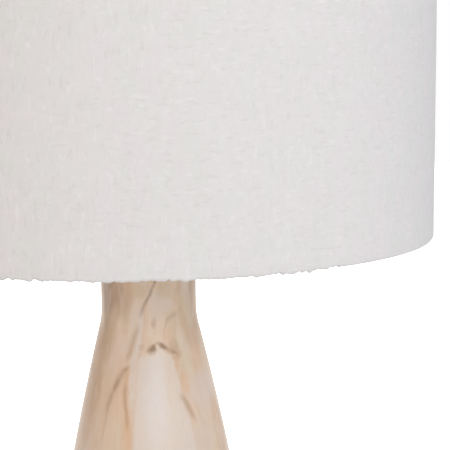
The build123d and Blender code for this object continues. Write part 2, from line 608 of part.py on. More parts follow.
def bulb_contact():
    tip = rod(BULB_TIP_RADIUS, BULB_Z, BULB_Z + BULB_TIP_HEIGHT)
    return fillet(tip.edges().filter_by(GeomType.CIRCLE).sort_by(Axis.Z)[0], BULB_TIP_HEIGHT / 2)


# ------------------------------------------------------------------ shade
def arm_path():
    """Path of one spider arm, in the XZ plane: level on the hub, up, and level into the top ring."""
    hub_level = HUB_Z + HUB_THICKNESS + ARM_WIRE_RADIUS
    ring_level = SHADE_TOP - RING_INSET
    points = [
        (ARM_ROOT, hub_level),
        (RING_RADIUS - ARM_FLAT_END, hub_level),
        (RING_RADIUS - ARM_RISE_END, ring_level),
        (RING_RADIUS, ring_level),
    ]
    return upright_path(points, [ARM_BEND_RADIUS, ARM_BEND_RADIUS])


def arm_angles():
    return [90 + turn * 360 / ARM_COUNT for turn in range(ARM_COUNT)]


def spider_arms():
    arm = wire_along(arm_path(), ARM_WIRE_RADIUS) - shade_ring(SHADE_TOP - RING_INSET)
    arm = arm.solids().sort_by(SortBy.VOLUME)[-1]
    return Compound(children=[arm.rotate(Axis.Z, angle) for angle in arm_angles()])


def spider_hub():
    return tube(HUB_RADIUS, HUB_HOLE_RADIUS, HUB_Z, HUB_Z + HUB_THICKNESS)


def shade_ring(height):
    return Pos(0, 0, height) * Torus(RING_RADIUS, RING_WIRE_RADIUS)


def hem_path():
    """Path of the linen in section: up the outside and turned in over the wire at both edges."""
    outer = SHADE_RADIUS - FABRIC_THICKNESS / 2
    fold = (HEM_WIDTH + FABRIC_THICKNESS) / 2
    inner = outer - 2 * fold
    low = SHADE_BOTTOM + FABRIC_THICKNESS / 2
    high = SHADE_TOP - FABRIC_THICKNESS / 2
    return Curve() + [
        Line((inner, SHADE_BOTTOM + HEM_TURN), (inner, low + fold)),
        CenterArc((inner + fold, low + fold), fold, 180, 180),
        Line((outer, low + fold), (outer, high - fold)),
        CenterArc((inner + fold, high - fold), fold, 0, 180),
        Line((inner, high - fold), (inner, SHADE_TOP - HEM_TURN)),
    ]


def shade_fabric():
    """Linen skin, snipped round each arm where its hem turns in."""
    linen = turned_strip(Wire(hem_path().edges()), FABRIC_THICKNESS)
    inside = SHADE_RADIUS - FABRIC_THICKNESS - LINER_THICKNESS
    level = SHADE_TOP - RING_INSET
    notch_radius = ARM_WIRE_RADIUS + ARM_NOTCH_CLEARANCE
    for angle in arm_angles():
        snip = Pos(0, 0, level) * Rot(0, 90, 0) * Cylinder(notch_radius, 2 * HEM_WIDTH)
        snip = Pos(inside - 2 * RING_WIRE_RADIUS - HEM_EASE - HEM_WIDTH / 2, 0, 0) * snip
        linen -= snip.rotate(Axis.Z, angle)
    return linen


def shade_liner(side):
    """Film behind the linen, in two sheets that butt at the sides: side +1 is the back one."""
    outer = SHADE_RADIUS - FABRIC_THICKNESS
    turn = FABRIC_THICKNESS + HEM_WIDTH / 2
    film = tube(outer, outer - LINER_THICKNESS, SHADE_BOTTOM + turn, SHADE_TOP - turn)
    keep = Box(2 * SHADE_RADIUS, SHADE_RADIUS, SHADE_TOP, align=(Align.CENTER, Align.MIN, Align.MIN))
    keep = Pos(0, LINER_JOINT / 2, 0) * keep
    return film & (keep if side > 0 else mirror(keep, about=Plane.XZ))


# ------------------------------------------------------------------ finial
def finial_insert():
    """Threaded bush: a flange that clamps the hub and a stem inside the knob."""
    flange_top = FINIAL_Z + FINIAL_FLANGE_HEIGHT
    flange = rod(FINIAL_FLANGE_RADIUS, FINIAL_Z, flange_top)
    flange = fillet(flange.edges().filter_by(GeomType.CIRCLE).sort_by(Axis.Z)[-1], FINIAL_FLANGE_HEIGHT / 3)
    stem = rod(FINIAL_STEM_RADIUS, FINIAL_Z, FINIAL_STEM_TOP)
    return flange + stem - rod(STUD_RADIUS + THREAD_CLEARANCE, FINIAL_Z, THREAD_END)


def finial_knob():
    """Ball on a short neck, bored for the bush."""
    low = FINIAL_Z + FINIAL_FLANGE_HEIGHT + STOP_GAP
    centre = low + FINIAL_NECK_HEIGHT + math.sqrt(FINIAL_BALL_RADIUS**2 - FINIAL_NECK_RADIUS**2)
    knob = rod(FINIAL_NECK_RADIUS, low, centre) + Pos(0, 0, centre) * Sphere(FINIAL_BALL_RADIUS)
    return knob - rod(FINIAL_STEM_RADIUS + FINIAL_STEM_CLEARANCE, low, FINIAL_STEM_TOP + STOP_GAP)


PARTS = {
    "wood_column": wood_column,
    "foot_weight": foot_weight,
    "felt_pad": felt_pad,
    "cord_gland": cord_gland,
    "threaded_pipe": threaded_pipe,
    "bottom_washer": bottom_washer,
    "lock_washer": lock_washer,
    "hex_nut": lambda: hex_nut_at(NUT_Z, NUT_THICKNESS),
    "vase_cap": vase_cap,
    "neck_tube": neck_tube,
    "harp_saddle": harp_saddle,
    "saddle_nut": saddle_nut,
    "socket_cap": socket_cap,
    "socket_set_screw": socket_set_screw,
    "socket_shell": socket_shell,
    "insulating_sleeve": insulating_sleeve,
    "socket_core": socket_core,
    "screw_shell": screw_shell,
    "centre_contact": centre_contact,
    "terminal_screws": terminal_screws,
    "switch_shaft": switch_shaft,
    "switch_knob": switch_knob,
    "bulb_glass": bulb_glass,
    "bulb_stem": bulb_stem,
    "bulb_filament": bulb_filament,
    "bulb_cap": bulb_cap,
    "bulb_insulator": bulb_insulator,
    "bulb_contact": bulb_contact,
    "harp_loop": harp_loop,
    "harp_stud": harp_stud,
    "sleeve_left": lambda: sleeve(-1),
    "sleeve_right": lambda: sleeve(1),
    "finial_insert": finial_insert,
    "finial_knob": finial_knob,
    "shade_fabric": shade_fabric,
    "shade_liner_front": lambda: shade_liner(-1),
    "shade_liner_back": lambda: shade_liner(1),
    "shade_top_ring": lambda: shade_ring(SHADE_TOP - RING_INSET),
    "shade_bottom_ring": lambda: shade_ring(SHADE_BOTTOM + RING_INSET),
    "spider_arms": spider_arms,
    "spider_hub": spider_hub,
}

os.makedirs("parts", exist_ok=True)
for name, make in PARTS.items():
    export_step(make(), f"parts/{name}.step")
print("shade", round(SHADE_BOTTOM, 2), round(SHADE_TOP, 2), "column top", COLUMN_TOP, "seat", SEAT_Z)
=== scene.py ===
import json
import math

import bpy
import numpy as np
from mathutils import Matrix, Vector


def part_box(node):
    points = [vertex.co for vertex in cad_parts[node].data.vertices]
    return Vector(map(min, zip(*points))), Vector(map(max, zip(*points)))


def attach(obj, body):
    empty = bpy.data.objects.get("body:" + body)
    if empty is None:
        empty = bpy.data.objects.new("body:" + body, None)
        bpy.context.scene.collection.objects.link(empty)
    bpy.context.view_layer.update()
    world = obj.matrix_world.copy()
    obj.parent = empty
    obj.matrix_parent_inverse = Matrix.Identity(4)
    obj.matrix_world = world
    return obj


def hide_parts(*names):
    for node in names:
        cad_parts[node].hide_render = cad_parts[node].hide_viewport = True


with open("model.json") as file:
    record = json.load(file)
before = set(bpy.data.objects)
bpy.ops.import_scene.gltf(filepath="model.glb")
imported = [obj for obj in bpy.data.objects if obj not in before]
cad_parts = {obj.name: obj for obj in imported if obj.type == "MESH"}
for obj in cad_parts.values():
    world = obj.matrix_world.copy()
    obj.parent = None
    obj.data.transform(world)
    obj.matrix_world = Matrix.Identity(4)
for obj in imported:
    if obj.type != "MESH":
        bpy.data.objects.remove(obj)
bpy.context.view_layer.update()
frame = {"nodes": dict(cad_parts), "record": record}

# A table lamp: pale turned wood column, slubby off-white linen drum shade, brass fittings.
# Metres, +Z up, in the frame of the CAD model. The front faces -Y.

MM = 0.001

# ------------------------------------------------------------------ sizes read from the frame
shade_low, shade_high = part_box("shade_fabric")
SHADE_RADIUS = (shade_high.x - shade_low.x) / 2
SHADE_BOTTOM = shade_low.z
SHADE_TOP = shade_high.z

# ------------------------------------------------------------------ the photograph's camera
FRAME_PIXELS = 450
FOCAL_PIXELS = 1150.0
SENSOR_MM = 36.0
CAMERA_DISTANCE = 4.061 * SHADE_RADIUS  # in front of the lamp's axis
CAMERA_RISE = 0.5451 * SHADE_RADIUS  # above the shade's lower edge
CAMERA_PAN = 0.0678  # radians, to the right
CAMERA_PITCH = 0.1274  # radians, down
CAMERA_ROLL = -0.0094  # radians


def make_camera():
    """Camera fitted to the shade's lower edge and to the column's outline in the photograph."""
    forward = Vector((
        math.sin(CAMERA_PAN) * math.cos(CAMERA_PITCH),
        math.cos(CAMERA_PAN) * math.cos(CAMERA_PITCH),
        -math.sin(CAMERA_PITCH),
    ))
    level = Vector((math.cos(CAMERA_PAN), -math.sin(CAMERA_PAN), 0))
    up = level.cross(forward)
    right = math.cos(CAMERA_ROLL) * level + math.sin(CAMERA_ROLL) * up
    top = -math.sin(CAMERA_ROLL) * level + math.cos(CAMERA_ROLL) * up
    camera = bpy.data.objects.new("camera", bpy.data.cameras.new("camera"))
    camera.data.sensor_width = SENSOR_MM
    camera.data.lens = FOCAL_PIXELS / FRAME_PIXELS * SENSOR_MM
    camera.data.clip_start = 0.05
    place = Matrix((right, top, -forward)).transposed().to_4x4()
    place.translation = (0, -CAMERA_DISTANCE, SHADE_BOTTOM + CAMERA_RISE)
    camera.matrix_world = place
    bpy.context.collection.objects.link(camera)
    bpy.context.scene.camera = camera


# ------------------------------------------------------------------ shader nodes
def linear(red, green, blue):
    """A colour given in 0 to 255 screen values, as the linear RGBA that shaders take."""
    def channel(value):
        value /= 255
        return value / 12.92 if value <= 0.04045 else ((value + 0.055) / 1.055) ** 2.4
    return (channel(red), channel(green), channel(blue), 1.0)


class Graph:
    """A material's nodes, with short calls for the ones used here. Sockets and numbers mix freely."""

    def __init__(self, name):
        self.material = bpy.data.materials.new(name)
        self.material.use_nodes = True
        self.tree = self.material.node_tree
        self.shader = next(n for n in self.tree.nodes if n.type == "BSDF_PRINCIPLED")
        self.output = next(n for n in self.tree.nodes if n.type == "OUTPUT_MATERIAL")

    def node(self, kind, **settings):
        made = self.tree.nodes.new("ShaderNode" + kind)
        for key, value in settings.items():
            setattr(made, key, value)
        return made

    def put(self, socket, value):
        """Links value into the socket if it is a socket, and sets it there if it is a number or colour."""
        if isinstance(value, bpy.types.NodeSocket):
            self.tree.links.new(value, socket)
        else:
            socket.default_value = value

    def math(self, operation, *values, clamp=False):
        made = self.node("Math", operation=operation, use_clamp=clamp)
        for socket, value in zip(made.inputs, values):
            self.put(socket, value)
        return made.outputs[0]

    def add(self, a, b):
        return self.math("ADD", a, b)

    def sub(self, a, b):
        return self.math("SUBTRACT", a, b)

    def mul(self, a, b):
        return self.math("MULTIPLY", a, b)

    def step(self, value, low, high, to_low=0.0, to_high=1.0):
        """Smooth step from to_low at low to to_high at high."""
        made = self.node("MapRange", interpolation_type="SMOOTHSTEP")
        for name, number in zip(("Value", "From Min", "From Max", "To Min", "To Max"),
                                (value, low, high, to_low, to_high)):
            self.put(made.inputs[name], number)
        return made.outputs["Result"]

    def vector(self, x, y, z):
        made = self.node("CombineXYZ")
        for socket, value in zip(made.inputs, (x, y, z)):
            self.put(socket, value)
        return made.outputs[0]

    def noise(self, place, scale, detail=2.0, roughness=0.5):
        made = self.node("TexNoise")
        self.put(made.inputs["Vector"], place)
        self.put(made.inputs["Scale"], scale)
        made.inputs["Detail"].default_value = detail
        made.inputs["Roughness"].default_value = roughness
        return made.outputs["Fac"]

    def mix(self, share, a, b):
        """Colour a where share is 0 and b where it is 1."""
        made = self.node("Mix", data_type="RGBA")
        self.put(made.inputs["Factor"], share)
        self.put(made.inputs[6], a)
        self.put(made.inputs[7], b)
        return made.outputs[2]

    def brighten(self, colour, gain):
        """The colour times gain."""
        made = self.node("VectorMath", operation="SCALE")
        self.put(made.inputs[0], colour)
        self.put(made.inputs["Scale"], gain)
        return made.outputs[0]

    def ramp(self, value, *stops):
        """Colour along (place, colour) stops."""
        made = self.node("ValToRGB")
        elements = made.color_ramp.elements
        while len(elements) < len(stops):
            elements.new(0.5)
        for element, (place, colour) in zip(elements, stops):
            element.position = place
            element.color = colour
        self.put(made.inputs[0], value)
        return made.outputs[0]

    def curve(self, value, points):
        """Smooth curve through (place, height) points, both in their own units."""
        places, heights = zip(*points)
        low, high = min(places), max(places)
        base, top = min(heights), max(heights)
        made = self.node("FloatCurve")
        line = made.mapping.curves[0]
        shares = sorted(((p - low) / (high - low), (h - base) / (top - base)) for p, h in points)
        while len(line.points) < len(shares):
            line.points.new(0.5, 0.5)
        for point, (x, y) in zip(line.points, shares):
            point.location = (x, y)
        made.mapping.use_clip = False
        made.mapping.update()
        self.put(made.inputs["Value"], self.math("DIVIDE", self.sub(value, low), high - low, clamp=True))
        return self.add(self.mul(made.outputs[0], top - base), base)

    def place(self):
        """Position on the piece in millimetres: the vector, then its x, y and z."""
        point = self.node("TexCoord").outputs["Object"]
        scaled = self.node("VectorMath", operation="SCALE")
        self.put(scaled.inputs[0], point)
        scaled.inputs["Scale"].default_value = 1 / MM
        parts = self.node("SeparateXYZ")
        self.put(parts.inputs[0], scaled.outputs[0])
        return scaled.outputs[0], parts.outputs[0], parts.outputs[1], parts.outputs[2]

    def bump(self, height, millimetres):
        """Normal of a surface that stands out by millimetres where height is 1."""
        made = self.node("Bump")
        made.inputs["Distance"].default_value = millimetres * MM
        self.put(made.inputs["Height"], height)
        return made.outputs[0]

    def set(self, **values):
        """Sets the surface shader's inputs, named as in Blender with _ for each space."""
        for key, value in values.items():
            self.put(self.shader.inputs[key.replace("_", " ")], value)
        return self.material


# ------------------------------------------------------------------ linen
LINEN_PALE = linear(232, 229, 229)
LINEN_SHADE = linear(214, 210, 208)
LINEN_PINK = linear(226, 220, 221)
LINEN_GREEN = linear(221, 222, 218)
# painted shade of the lap at the back and of the shadow line along its edges
LINEN_LAP_SHADE = linear(196, 190, 185)
WARP_PITCH = 0.85  # millimetres from yarn to yarn
WEFT_PITCH = 0.8
YARN_WANDER = 3.0  # millimetres that the yarns stray from straight
# Thick and thin places in the yarns: how many to the millimetre across and up, noise seed, and the noise
# values at which one starts and is full.
UPRIGHT_THICK = (0.31, 0.090, 3.0, 0.60, 0.70)
UPRIGHT_THIN = (0.32, 0.095, 20.0, 0.40, 0.30)
LYING_THICK = (0.125, 0.36, 9.0, 0.60, 0.70)
LYING_THIN = (0.120, 0.38, 27.0, 0.40, 0.30)
# Spots of tone and tint: how many to the millimetre across and up, noise seed, detail and roughness.
FINE_YARNS = (0.75, 0.10, 80.0, 1.0, 0.5)
LUMPS = (0.20, 0.13, 40.0, 2.0, 0.55)
CLOUDS = (0.05, 0.035, 30.0, 2.0, 0.6)
TINTS = (0.055, 0.035, 60.0, 2.0, 0.6)
MOSTLY_LYING, MOSTLY_UPRIGHT = 60.0, -90.0  # millimetres round from the front, where slubs become so
MIDDLE_TONE = 0.54  # between the linen's darker and paler colour
TINT_SHARE = 0.42
LINEN_BUMP = 0.065  # millimetres


def linen_material():
    """Fine plain weave, nearly flat, with thick places in single yarns and faint tinted patches."""
    g = Graph("linen")
    _, x, y, z = g.place()
    across = g.mul(g.math("ARCTAN2", x, g.mul(y, -1.0)), SHADE_RADIUS / MM)
    wander = g.mul(g.sub(g.noise(g.vector(across, z, 0.0), 0.06, 2.0), 0.5), YARN_WANDER)
    u = g.add(across, wander)
    v = g.add(z, wander)

    warp = g.math("ABSOLUTE", g.math("SINE", g.mul(u, math.pi / WARP_PITCH)))
    weft = g.math("ABSOLUTE", g.math("SINE", g.mul(v, math.pi / WEFT_PITCH)))
    weave = g.mul(warp, weft)

    def spots(per_across, per_up, seed, detail, roughness):
        """Noise along the yarns, with so many spots to the millimetre each way."""
        return g.noise(g.vector(g.mul(u, per_across), g.mul(v, per_up), seed), 1.0, detail, roughness)

    def slubs(per_across, per_up, seed, low, high):
        """1 in the yarns' thick or thin places and 0 between them."""
        return g.step(spots(per_across, per_up, seed, 1.0, 0.5), low, high)

    # upright slubs are the more common ones on the left of the front, lying ones on the right
    leaning = g.add(g.step(across, MOSTLY_LYING, MOSTLY_UPRIGHT, 0.0, 0.7),
                    g.step(g.noise(g.vector(across, z, 70.0), 0.018, 1.0), 0.4, 0.6, 0.0, 0.6))
    some_upright = g.step(leaning, 0.0, 1.0, 0.25, 1.0)
    some_lying = g.step(leaning, 1.1, 0.2, 0.3, 1.0)
    upright = g.mul(slubs(*UPRIGHT_THICK), some_upright)
    upright_dark = g.mul(slubs(*UPRIGHT_THIN), some_upright)
    lying = g.mul(slubs(*LYING_THICK), some_lying)
    lying_dark = g.mul(slubs(*LYING_THIN), some_lying)
    fine, lump, cloud, tint = spots(*FINE_YARNS), spots(*LUMPS), spots(*CLOUDS), spots(*TINTS)

    tone = g.add(g.mul(g.sub(lump, 0.5), 0.6), g.mul(g.sub(cloud, 0.5), 0.5))
    tone = g.add(tone, g.add(g.mul(upright, 0.42), g.mul(lying, 0.42)))
    tone = g.sub(tone, g.add(g.mul(upright_dark, 0.40), g.mul(lying_dark, 0.42)))
    tone = g.add(g.add(tone, g.mul(g.sub(fine, 0.5), 0.15)), MIDDLE_TONE)
    colour = g.mix(tone, LINEN_SHADE, LINEN_PALE)
    colour = g.mix(TINT_SHARE, colour, g.mix(g.step(tint, 0.38, 0.62), LINEN_PINK, LINEN_GREEN))

    # the lap at the back is two layers, painted a little darker as if less light came through, with a
    # painted shadow line along its step edges
    from_back = g.sub(math.pi * SHADE_RADIUS / MM, g.math("ABSOLUTE", across))
    lap_edge_at = LAP_HALF_WIDTH / MM
    lap = g.step(from_back, lap_edge_at + 0.4, lap_edge_at - 0.4)
    lap_edge_shadow = g.step(g.math("ABSOLUTE", g.sub(from_back, lap_edge_at + 0.5)), 0.9, 0.3)
    colour = g.mix(g.add(g.mul(lap, 0.22), g.mul(lap_edge_shadow, 0.6)), colour, LINEN_LAP_SHADE)

    relief = g.sub(g.add(upright, lying), g.mul(g.add(upright_dark, lying_dark), 0.7))
    relief = g.add(relief, g.add(g.mul(lump, 0.8), g.mul(weave, 0.03)))
    return g.set(Base_Color=colour, Roughness=0.92, Specular_IOR_Level=0.2, Sheen_Weight=0.05,
                 Sheen_Roughness=0.6, Normal=g.bump(relief, LINEN_BUMP))


def film_material():
    """Stiff white film inside the shade, with a faint grain."""
    g = Graph("liner_film")
    place, _, _, _ = g.place()
    cloud = g.noise(place, 0.02, 3.0)
    grain = g.noise(place, 0.9, 2.0)
    colour = g.ramp(cloud, (0.3, linear(238, 234, 226)), (0.7, linear(232, 227, 218)))
    return g.set(Base_Color=colour, Roughness=g.step(grain, 0.3, 0.7, 0.38, 0.5), Normal=g.bump(grain, 0.05))


# ------------------------------------------------------------------ wood
WOOD_CREAM = linear(217, 207, 201)
WOOD_PALE = linear(219, 204, 192)
WOOD_PINK = linear(221, 199, 186)
WOOD_BEIGE = linear(216, 199, 177)
WOOD_TAN = linear(217, 190, 165)
WOOD_GREY = linear(210, 194, 182)
WOOD_ORANGE = linear(217, 177, 142)
WOOD_OLIVE = linear(200, 177, 145)
WOOD_BROWN = linear(190, 155, 122)
WOOD_DARK = linear(158, 126, 98)
WOOD_VEIN = linear(148, 114, 86)
WOOD_KNOT = linear(132, 94, 62)

# The figure of the column's front, and painted shade of the lampshade on the neck. A place is (degrees
# round from the front, millimetres over the shade's lower edge, so below it they are negative). A patch
# also has its half width in degrees, half height in millimetres, lean in degrees per millimetre, colour
# and strength. Later patches lie over earlier ones.
RIM_HEIGHT = SHADE_BOTTOM / MM
WOOD_PATCHES = [
    # left side
    (-60, -90, 26, 75, 0.0, WOOD_TAN, 0.9),
    (-64, -120, 14, 45, 0.0, WOOD_BROWN, 0.6),
    (-59, -48, 11, 27, 0.0, WOOD_DARK, 0.95),
    (-54, -43, 9, 13, 0.0, WOOD_VEIN, 0.5),
    (-52, -80, 13, 20, 0.0, WOOD_BROWN, 0.7),
    (-42, -46, 18, 17, 0.0, WOOD_DARK, 0.5),
    (-40, -45, 16, 14, 0.0, WOOD_BROWN, 0.8),
    (-42, -60, 5, 14, 0.0, WOOD_BROWN, 0.5),
    (-32, -60, 5, 14, 0.0, WOOD_OLIVE, 0.5),
    (-36, -92, 12, 22, 0.0, WOOD_PINK, 0.35),
    (-58, -118, 8, 20, 0.0, WOOD_BROWN, 0.4),
    (-46, -140, 7, 26, 0.0, WOOD_TAN, 0.5),
    (-20, -66, 5, 26, 0.25, WOOD_PALE, 0.55),
    (-30, -140, 7, 26, 0.0, WOOD_TAN, 0.8),
    # under the shade
    (-12, -39, 16, 7, 0.0, WOOD_OLIVE, 0.6),
    (12, -50, 16, 12, 0.0, WOOD_GREY, 0.6),
    (22, -40, 14, 7, 0.0, WOOD_OLIVE, 0.6),
    (39, -41, 5, 7, 0.0, WOOD_BROWN, 0.6),
    (48, -44, 7, 8, 0.0, WOOD_GREY, 0.8),
    (60, -43, 5, 13, 0.0, WOOD_DARK, 0.45),
    (50, -61, 18, 16, 0.0, WOOD_OLIVE, 0.9),
    (43, -74, 10, 14, 0.0, WOOD_OLIVE, 0.4),
    (40, -58, 3, 4, 0.0, WOOD_BROWN, 0.4),
    # painted shade: the lampshade's shadow on the neck close under its edge, darkest on the neck's sides
    (-54, -40, 24, 15, 0.0, WOOD_DARK, 0.8),
    (-27, -42, 8, 22, 0.0, WOOD_BROWN, 0.6),
    (70, -48, 15, 26, 0.0, WOOD_DARK, 0.34),
    (34, -54, 8, 14, 0.0, WOOD_BROWN, 0.3),
    # right side
    (50, -78, 14, 15, -0.35, WOOD_BROWN, 0.45),
    (57, -96, 8, 12, 0.0, WOOD_ORANGE, 0.6),
    (66, -73, 5, 4, 0.0, WOOD_DARK, 0.22),
    (37, -92, 9, 26, -0.1, WOOD_BEIGE, 0.8),
    (36, -80, 4, 8, -0.2, WOOD_PINK, 0.4),
    (57, -122, 20, 17, 0.0, WOOD_GREY, 0.7),
    (72, -158, 14, 30, 0.0, WOOD_BROWN, 0.75),
    (66, -150, 5, 20, 0.0, WOOD_ORANGE, 0.4),
    (68, -60, 8, 26, 0.0, WOOD_BROWN, 0.35),
    (46, -149, 8, 7, 0.0, WOOD_BEIGE, 0.6),
    (44, -162, 11, 18, 0.0, WOOD_GREY, 0.5),
    (43, -138, 3, 12, -0.15, WOOD_OLIVE, 0.45),
    # round the knots
    (-14, -82, 5, 30, 0.18, WOOD_PALE, 0.95),
    (9, -75, 12, 9, 0.0, WOOD_TAN, 0.6),
    (21, -74, 7, 8, 0.0, WOOD_ORANGE, 0.55),
    (1, -76, 5, 6, 0.0, WOOD_BEIGE, 0.6),
    (28, -77, 3, 9, 0.2, WOOD_OLIVE, 0.6),
    (26, -65, 8, 8, 0.0, WOOD_OLIVE, 0.45),
    (-5, -73, 3, 4, 0.0, WOOD_TAN, 0.5),
]
# The front's own figure sets in between these degrees round from the front, and these heights.
FRONT_SIDES = (92.0, 72.0)
FRONT_FOOT = (-240.0, -165.0)
# Patches over the pale middle of the column.
PALE_PATCHES = [
    (4, -126, 11, 36, 0.0, WOOD_CREAM, 0.9),
    (-16, -112, 4, 22, 0.0, WOOD_PALE, 0.8),
    (-15, -104, 3, 12, 0.0, WOOD_PINK, 0.7),
    (20, -112, 6, 20, 0.0, WOOD_BEIGE, 0.25),
    (28, -91, 6, 6, 0.0, WOOD_BROWN, 0.55),
    (23, -88.5, 7, 3, -0.3, WOOD_BROWN, 0.4),
    (26, -84, 6, 4, 0.0, WOOD_BROWN, 0.35),
    (27, -98, 3, 6, 0.0, WOOD_ORANGE, 0.6),
    (33, -115, 4.5, 9, -0.1, WOOD_ORANGE, 0.55),
    (-26, -153, 2.5, 14, 0.0, WOOD_BEIGE, 0.6),
    (5.5, -66.5, 3.2, 4.6, 0.0, WOOD_DARK, 0.4),
    (-9, -84.8, 4.4, 2.6, 0.0, WOOD_DARK, 0.22),
    (2, -87, 7, 5, 0.0, WOOD_TAN, 0.6),
    (15, -84.5, 7, 4, 0.0, WOOD_TAN, 0.5),
    (2.2, -87.0, 5.0, 3.8, 0.0, WOOD_VEIN, 0.5),
    (0.4, -87.4, 3.0, 2.0, 0.0, WOOD_VEIN, 0.5),
    (4.0, -85.4, 2.8, 3.2, 0.0, WOOD_KNOT, 0.62),
    (13.6, -84.3, 4.4, 3.0, -0.3, WOOD_VEIN, 0.4),
    (13.2, -84.2, 3.0, 2.2, -0.3, WOOD_KNOT, 0.5),
    (16.4, -86.0, 3.0, 2.2, -0.3, WOOD_VEIN, 0.5),
]
# The pale middle's edges, as (millimetres over the shade's lower edge, degrees).
PALE_LEFT_EDGE = [(-82, -3), (-90, -9), (-100, -12), (-120, -13), (-175, -14), (-240, -19), (-310, -14),
                  (-390, 2)]
PALE_RIGHT_EDGE = [(-82, 18), (-90, 22), (-105, 25.5), (-122, 28.5), (-136, 32), (-150, 34), (-175, 35),
                   (-240, 31), (-310, 26), (-390, 16)]
# Veins, in the same way.
VEIN_UPPER_LEFT = [(-30, 10), (-35, 6.5), (-45, 0), (-51, -5), (-57, -8.5), (-70, -14), (-84, -19),
                   (-97, -23)]
VEIN_LOWER_LEFT = [(-97, -19), (-103, -25), (-109, -29.5), (-117, -33.5), (-124, -36.5), (-131, -38.5),
                   (-145, -39.8), (-175, -41.5)]
VEIN_RIGHT = [(-118, 28), (-124, 29), (-129, 31.5), (-134, 33.5), (-140, 36), (-146, 38.6), (-160, 43)]
STREAK = [(-97, -17), (-105, -20), (-115, -23), (-125, -22.5), (-135, -20.5), (-150, -18.5), (-175, -17),
          (-240, -24), (-320, -18)]
# Curves that run round the column, as (degrees, millimetres over the shade's lower edge).
ARCH = [(-4, -88), (0, -87), (4, -84.5), (7, -82.2), (10, -81.9), (14, -84.2), (20, -87.3), (28, -90.5)]
LOOP = [(16, -77), (18, -70), (20, -66), (23, -63.6), (28, -61.6), (36, -60)]
# Knots elsewhere on the column: degrees, height, half width in degrees, half height.
SMALL_KNOTS = [(-128, -150, 5, 5), (152, -96, 6, 4), (104, -230, 5, 5), (-40, -290, 5, 6),
               (-150, -330, 5, 4), (70, -370, 4, 5), (12, -240, 4, 4)]
# Lines drawn along the veins: points, half width in millimetres, strength, colour, whether it comes and
# goes, and the heights where it starts, is full, is still full and ends.
STREAK_LINES = [
    (STREAK, 5.0, 0.62, WOOD_ORANGE, False, (-320, -190, -104, -96)),
    (STREAK, 2.8, 0.4, WOOD_DARK, False, (-152, -140, -118, -108)),
]
LEFT_LINES = [
    (VEIN_UPPER_LEFT, 2.3, 0.78, WOOD_VEIN, True, (-62, -44, -30, -20)),
    (VEIN_UPPER_LEFT, 3.4, 0.34, WOOD_DARK, False, (-66, -56, -50, -46)),
    (VEIN_UPPER_LEFT, 4.6, 0.5, WOOD_BROWN, False, (-99, -90, -76, -62)),
    (VEIN_LOWER_LEFT, 8.0, 0.35, WOOD_BROWN, False, (-150, -130, -103, -97)),
    (VEIN_LOWER_LEFT, 3.6, 0.56, WOOD_VEIN, True, (-142, -126, -103, -97)),
    (VEIN_LOWER_LEFT, 2.2, 0.14, WOOD_VEIN, False, (-172, -150, -128, -118)),
]
RIGHT_LINES = [
    (VEIN_RIGHT, 8.0, 0.4, WOOD_TAN, False, (-156, -142, -126, -116)),
    (VEIN_RIGHT, 4.4, 0.5, WOOD_DARK, False, (-148, -137, -128, -119)),
]


class WoodGraph(Graph):
    """Nodes of the column's wood, with its places: turn in degrees and z in millimetres."""

    def __init__(self, name):
        super().__init__(name)
        _, self.x, self.y, height = self.place()
        self.z = self.sub(height, RIM_HEIGHT)
        self.turn = self.mul(self.math("ARCTAN2", self.x, self.mul(self.y, -1.0)), 180 / math.pi)
        self.radius = self.math("SQRT", self.add(self.mul(self.x, self.x), self.mul(self.y, self.y)))
        self.soft_turn = self.strayed(self.turn, self.stretched(0.5, 0.09, 50.0), 9.0)
        self.soft_z = self.strayed(self.z, self.stretched(0.8, 0.07, 90.0), 12.0)
        self.line_turn = self.strayed(self.turn, self.stretched(0.9, 0.2, 70.0, 1.0), 1.6)
        self.uneven = self.step(self.stretched(0.8, 0.13, 360.0), 0.36, 0.62, 0.5, 1.0)

    def stretched(self, upright, scale, seed, detail=2.0, roughness=0.5):
        """Noise drawn out along the height where upright is small."""
        along = self.add(self.mul(self.z, upright), seed)
        return self.noise(self.vector(self.x, self.y, along), scale, detail, roughness)

    def strayed(self, value, noise, reach):
        """The value moved to and fro by noise, by up to half of reach."""
        return self.add(value, self.mul(self.sub(noise, 0.5), reach))

    def patch(self, place_turn, place_z, degrees, at, wide, tall, lean=0.0):
        """Soft spot: 1 in its middle and 0 outside."""
        up = self.math("MULTIPLY_ADD", place_z, 1 / tall, -at / tall)
        aside = self.math("MULTIPLY_ADD", place_turn, 1 / wide, -degrees / wide)
        if lean:
            aside = self.math("MULTIPLY_ADD", up, -lean * tall / wide, aside)
        return self.step(self.math("MULTIPLY_ADD", aside, aside, self.mul(up, up)), 1.6, 0.0)

    def soft_patch(self, *shape):
        return self.patch(self.soft_turn, self.soft_z, *shape)

    def sharp_patch(self, *shape):
        return self.patch(self.line_turn, self.z, *shape)

    def line(self, points, width, fade):
        """Soft line along points, full between the two middle numbers of fade."""
        aside = self.math("ABSOLUTE", self.sub(self.line_turn, self.curve(self.z, points)))
        off = self.mul(aside, self.mul(self.radius, math.pi / 180))
        lowest, low, high, highest = fade
        ends = self.mul(self.step(self.z, lowest, low), self.step(self.z, highest, high))
        return self.mul(self.step(off, width, 0.0), ends)

    def draw(self, colour, lines):
        """The colour with lines over it."""
        for points, width, strength, tone, comes_and_goes, fade in lines:
            share = self.mul(self.line(points, width, fade), strength)
            if comes_and_goes:
                share = self.mul(share, self.uneven)
            colour = self.mix(share, colour, tone)
        return colour

    def beside(self, points, soft):
        """0 to the left of the points and 1 to the right."""
        return self.step(self.sub(self.line_turn, self.curve(self.z, points)), -soft, soft)


